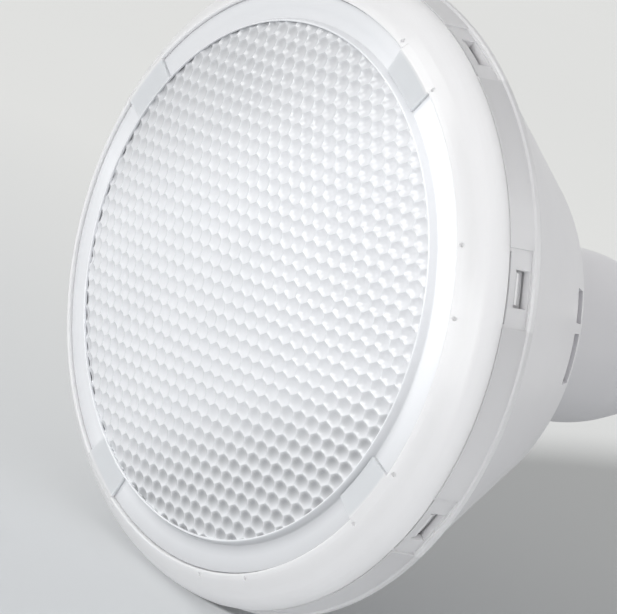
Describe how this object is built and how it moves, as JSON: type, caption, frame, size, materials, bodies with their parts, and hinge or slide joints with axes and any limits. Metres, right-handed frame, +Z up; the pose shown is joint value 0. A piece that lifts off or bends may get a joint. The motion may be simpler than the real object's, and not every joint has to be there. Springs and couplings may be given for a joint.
{
  "type": "par spotlight bulb",
  "caption": "Reflector-shaped LED spotlight bulb with a honeycomb micro-lens front, frosted bezel, snap ring, white bowl housing, neck and medium screw base.",
  "frame": {"origin": "tip of the centre contact of the screw base, on the lamp's axis", "axes": "the lamp's axis is Y, the screw base points to +Y and the light leaves toward -Y; +Z is up and +X completes the frame"},
  "size_m": [0.1206, 0.1301, 0.1206],
  "materials": {
    "clear_lens": "clear moulded polycarbonate",
    "frosted_bezel": "frosted white plastic, satin",
    "translucent_ring": "translucent white plastic, satin",
    "white_housing": "white plastic, satin gloss",
    "silicone": "soft silicone",
    "metallised": "vacuum metallised plastic",
    "board_white": "white solder mask on aluminium",
    "led_amber": "white package with a phosphor face",
    "connector_white": "nylon",
    "thermal_grey": "soft thermal pad",
    "cast_aluminium": "as cast",
    "steel_screw": "zinc plated",
    "board_green": "green solder mask",
    "ferrite": "ferrite",
    "winding_tape": "yellow polyester tape",
    "can_black": "printed-free capacitor sleeve",
    "film_yellow": "epoxy box",
    "drum_black": "heat-shrink over a ferrite drum",
    "chip_black": "moulded epoxy",
    "resistor_green": "coated resistor",
    "wire_white": "wire insulation",
    "wire_red": "wire insulation",
    "plated_shell": "nickel plated brass",
    "insulator_black": "moulded insulator",
    "contact_metal": "tinned brass"
  },
  "bodies": {
    "root": {"lens": "clear_lens", "front_bezel": "frosted_bezel", "side_ring": "translucent_ring", "housing": "white_housing", "neck": "white_housing", "lens_gasket": "silicone", "reflector": "metallised", "led_board": "board_white", "led_packages": "led_amber", "board_connector": "connector_white", "thermal_pad": "thermal_grey", "heat_spreader": "cast_aluminium", "board_screws": "steel_screw", "ring_screws": "steel_screw", "driver_board": "board_green", "transformer_core": "ferrite", "transformer_winding": "winding_tape", "input_capacitor": "can_black", "output_capacitor": "can_black", "film_capacitor": "film_yellow", "line_inductor": "drum_black", "bridge_rectifier": "chip_black", "driver_controller": "chip_black", "fuse_resistor": "resistor_green", "led_leads": "wire_red", "line_lead": "wire_white", "neutral_lead": "wire_white", "screw_shell": "plated_shell", "base_insulator": "insulator_black", "centre_contact": "contact_metal"}
  },
  "joints": []
}
